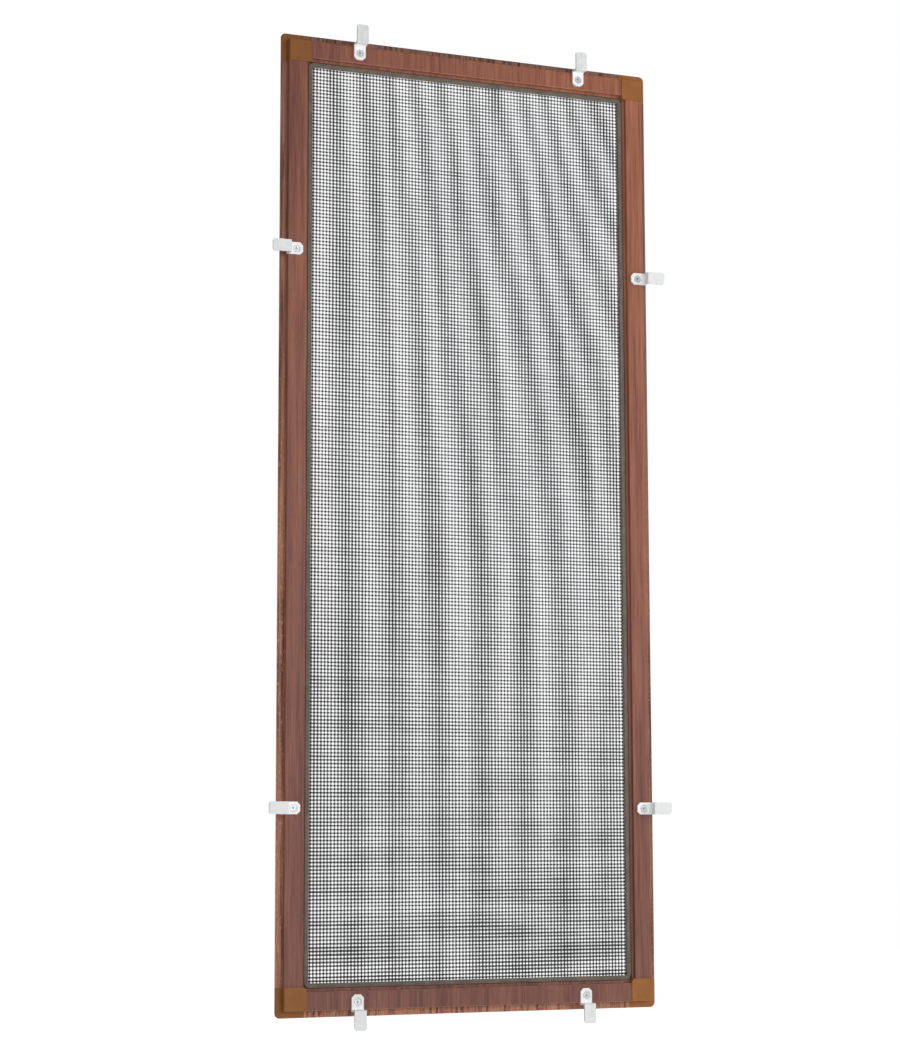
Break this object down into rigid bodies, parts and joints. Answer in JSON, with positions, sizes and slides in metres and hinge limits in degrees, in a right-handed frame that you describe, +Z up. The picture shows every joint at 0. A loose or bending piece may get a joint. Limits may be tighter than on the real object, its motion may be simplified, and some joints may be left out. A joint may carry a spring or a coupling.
{
  "type": "window screen frame",
  "caption": "Inset window insect screen: hollow wood-effect frame with outer flange, plastic corner pieces, woven mesh held by a spline, and turn clips with screws.",
  "frame": {"origin": "centre of the frame in the plane of the flange's front face, which bears on the window frame", "axes": "+Z up along the stiles, +X to the right seen from the room, -Y towards the room and the clips"},
  "size_m": [0.4248, 0.0196, 0.9888],
  "materials": {
    "wood_foil": "satin red-brown wood-grain foil on aluminium",
    "corner_plastic": "plain moulded plastic, ochre brown",
    "mesh_fabric": "dark grey coated glass-fibre yarn, plain weave",
    "spline_rubber": "matt grey-brown flexible cord",
    "clip_plastic": "light grey moulded plastic",
    "screw_steel": "zinc-plated steel"
  },
  "bodies": {
    "frame": {"left_stile": "wood_foil", "right_stile": "wood_foil", "top_rail": "wood_foil", "bottom_rail": "wood_foil", "corner_top_left": "corner_plastic", "corner_top_right": "corner_plastic", "corner_bottom_left": "corner_plastic", "corner_bottom_right": "corner_plastic", "insect_mesh": "mesh_fabric", "mesh_spline": "spline_rubber", "clip_screws": "screw_steel"},
    "clip_top_left": {"clip_top_left": "clip_plastic"},
    "clip_top_right": {"clip_top_right": "clip_plastic"},
    "clip_left_upper": {"clip_left_upper": "clip_plastic"},
    "clip_left_lower": {"clip_left_lower": "clip_plastic"},
    "clip_right_upper": {"clip_right_upper": "clip_plastic"},
    "clip_right_lower": {"clip_right_lower": "clip_plastic"},
    "clip_bottom_left": {"clip_bottom_left": "clip_plastic"},
    "clip_bottom_right": {"clip_bottom_right": "clip_plastic"}
  },
  "joints": [
    {"name": "clip_top_left_turn", "type": "hinge", "parent": "frame", "child": "clip_top_left", "pos_m": [-0.12, -0.008, 0.4678], "axis": [0, -1, 0], "continuous": true},
    {"name": "clip_top_right_turn", "type": "hinge", "parent": "frame", "child": "clip_top_right", "pos_m": [0.12, -0.008, 0.4678], "axis": [0, -1, 0], "continuous": true},
    {"name": "clip_left_upper_turn", "type": "hinge", "parent": "frame", "child": "clip_left_upper", "pos_m": [-0.1858, -0.008, 0.262], "axis": [0, -1, 0], "continuous": true},
    {"name": "clip_left_lower_turn", "type": "hinge", "parent": "frame", "child": "clip_left_lower", "pos_m": [-0.1858, -0.008, -0.284], "axis": [0, -1, 0], "continuous": true},
    {"name": "clip_right_upper_turn", "type": "hinge", "parent": "frame", "child": "clip_right_upper", "pos_m": [0.1858, -0.008, 0.262], "axis": [0, -1, 0], "continuous": true},
    {"name": "clip_right_lower_turn", "type": "hinge", "parent": "frame", "child": "clip_right_lower", "pos_m": [0.1858, -0.008, -0.284], "axis": [0, -1, 0], "continuous": true},
    {"name": "clip_bottom_left_turn", "type": "hinge", "parent": "frame", "child": "clip_bottom_left", "pos_m": [-0.12, -0.008, -0.4678], "axis": [0, -1, 0], "continuous": true},
    {"name": "clip_bottom_right_turn", "type": "hinge", "parent": "frame", "child": "clip_bottom_right", "pos_m": [0.12, -0.008, -0.4678], "axis": [0, -1, 0], "continuous": true}
  ]
}
